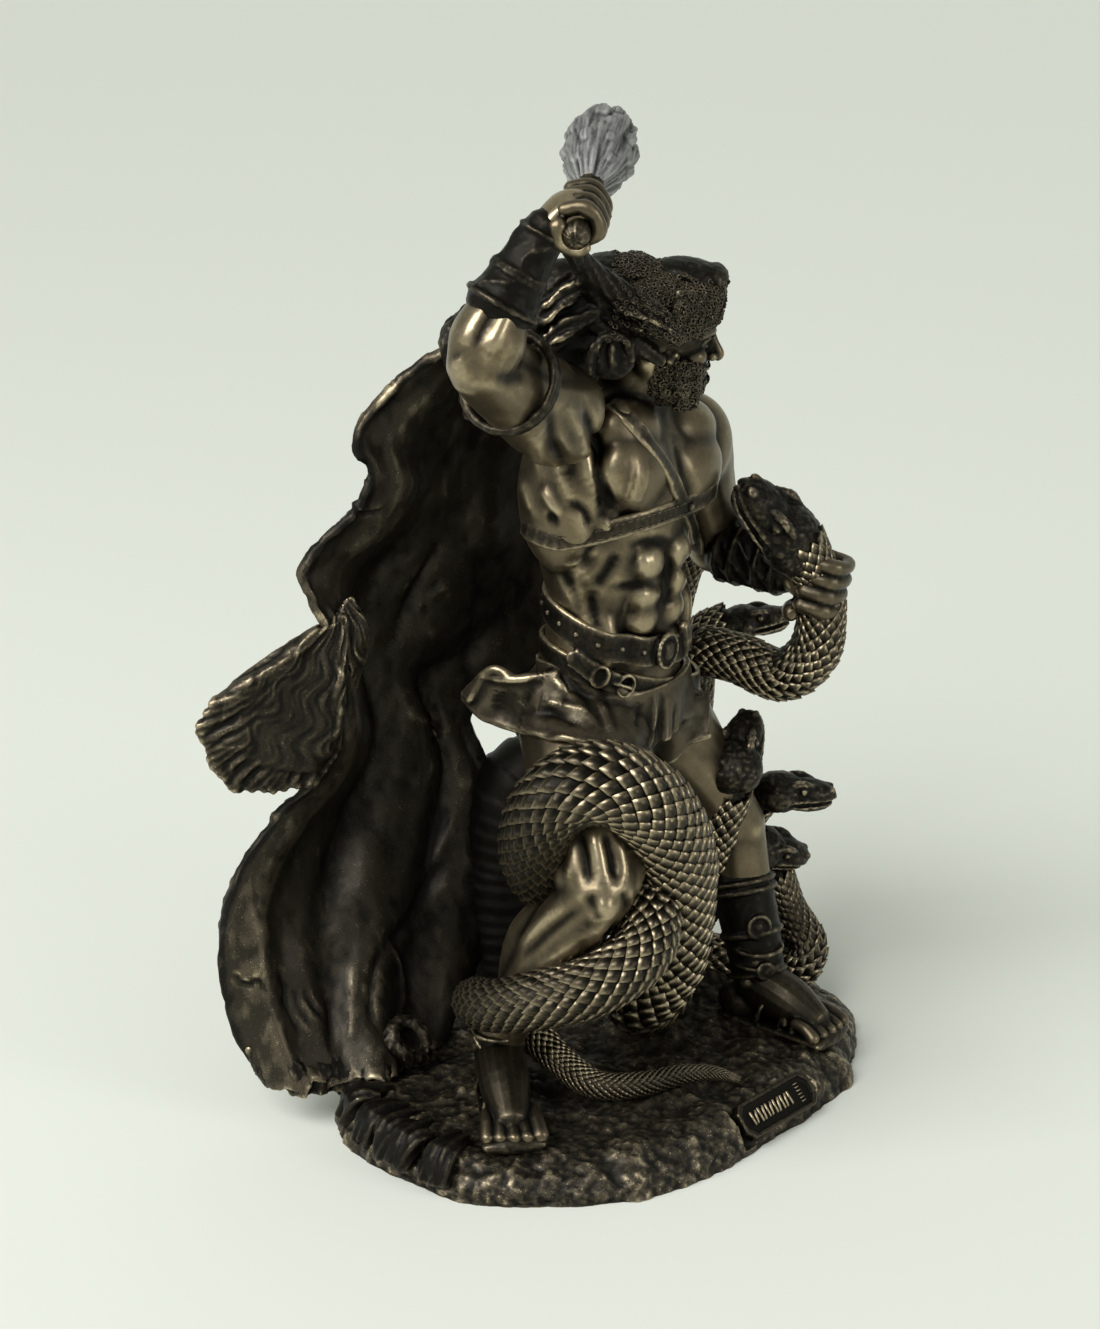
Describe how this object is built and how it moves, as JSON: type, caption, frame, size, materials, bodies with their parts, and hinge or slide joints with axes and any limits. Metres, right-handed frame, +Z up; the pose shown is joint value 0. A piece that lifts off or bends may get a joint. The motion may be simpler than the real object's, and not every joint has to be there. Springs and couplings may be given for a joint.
{
  "type": "hercules statue",
  "caption": "Desk statuette of a bearded hero in a lion skin who raises a club against a many-headed serpent, on a low oval rock base with a bare name plate.",
  "frame": {"origin": "on the ground plane, under the middle of the statuette's box", "axes": "+Z up, -Y the front where the name plate is, +X the hero's left"},
  "size_m": [0.1834, 0.131, 0.2835],
  "materials": {
    "bronze": "cold-cast resin with a satin dark bronze patina and pale gold wear on the high places",
    "grey_club": "cold-cast resin with a silvery grey wash"
  },
  "bodies": {
    "root": {"statue": "bronze", "club": "grey_club"}
  },
  "joints": []
}
